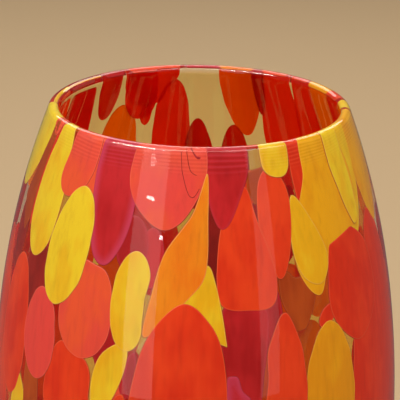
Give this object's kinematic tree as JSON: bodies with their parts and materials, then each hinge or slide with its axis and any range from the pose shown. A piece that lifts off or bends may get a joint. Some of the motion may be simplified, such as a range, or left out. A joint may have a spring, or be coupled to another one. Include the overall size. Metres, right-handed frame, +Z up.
{
  "type": "hand blown art glass vase",
  "caption": "Barrel-shaped clear glass vase with a rounded open mouth, thick flat base and elongated yellow, orange, red and ruby glass chips melted into its wall.",
  "frame": {"origin": "centre of the flat foot, at the height of the surface it stands on", "axes": "+Z up through the mouth, -Y the front of the vase, +X to the right seen from the front"},
  "size_m": [0.1535, 0.154, 0.25],
  "materials": {
    "clear_glass": "clear straw-tinted glass, fire polished",
    "yellow_glass": "opaque yellow glass, glossy",
    "golden_glass": "opaque golden yellow glass, glossy",
    "orange_glass": "opaque orange glass, glossy",
    "vermilion_glass": "opaque vermilion glass, glossy",
    "salmon_glass": "opaque light vermilion glass, glossy",
    "ruby_glass": "translucent ruby glass, glossy"
  },
  "bodies": {
    "root": {"chip_golden_01": "golden_glass", "chip_golden_02": "golden_glass", "chip_golden_03": "golden_glass", "chip_golden_04": "golden_glass", "chip_golden_05": "golden_glass", "chip_golden_06": "golden_glass", "chip_golden_07": "golden_glass", "chip_orange_01": "orange_glass", "chip_orange_02": "orange_glass", "chip_orange_03": "orange_glass", "chip_orange_04": "orange_glass", "chip_orange_05": "orange_glass", "chip_ruby_01": "ruby_glass", "chip_ruby_02": "ruby_glass", "chip_ruby_03": "ruby_glass", "chip_ruby_04": "ruby_glass", "chip_ruby_05": "ruby_glass", "chip_ruby_06": "ruby_glass", "chip_ruby_07": "ruby_glass", "chip_ruby_08": "ruby_glass", "chip_ruby_09": "ruby_glass", "chip_salmon_01": "salmon_glass", "chip_salmon_02": "salmon_glass", "chip_salmon_03": "salmon_glass", "chip_salmon_04": "salmon_glass", "chip_salmon_05": "salmon_glass", "chip_salmon_06": "salmon_glass", "chip_vermilion_01": "vermilion_glass", "chip_vermilion_02": "vermilion_glass", "chip_vermilion_03": "vermilion_glass", "chip_vermilion_04": "vermilion_glass", "chip_vermilion_05": "vermilion_glass", "chip_vermilion_06": "vermilion_glass", "chip_vermilion_07": "vermilion_glass", "chip_vermilion_08": "vermilion_glass", "chip_vermilion_09": "vermilion_glass", "chip_vermilion_10": "vermilion_glass", "chip_vermilion_11": "vermilion_glass", "chip_vermilion_12": "vermilion_glass", "chip_vermilion_13": "vermilion_glass", "chip_vermilion_14": "vermilion_glass", "chip_vermilion_15": "vermilion_glass", "chip_vermilion_16": "vermilion_glass", "chip_vermilion_17": "vermilion_glass", "chip_vermilion_18": "vermilion_glass", "chip_vermilion_19": "vermilion_glass", "chip_vermilion_20": "vermilion_glass", "chip_yellow_01": "yellow_glass", "chip_yellow_02": "yellow_glass", "chip_yellow_03": "yellow_glass", "chip_yellow_04": "yellow_glass", "chip_yellow_05": "yellow_glass", "chip_yellow_06": "yellow_glass", "chip_yellow_07": "yellow_glass", "chip_yellow_08": "yellow_glass", "chip_yellow_09": "yellow_glass", "chip_yellow_10": "yellow_glass", "chip_yellow_11": "yellow_glass", "chip_yellow_12": "yellow_glass", "clear_gather": "clear_glass"}
  },
  "joints": []
}
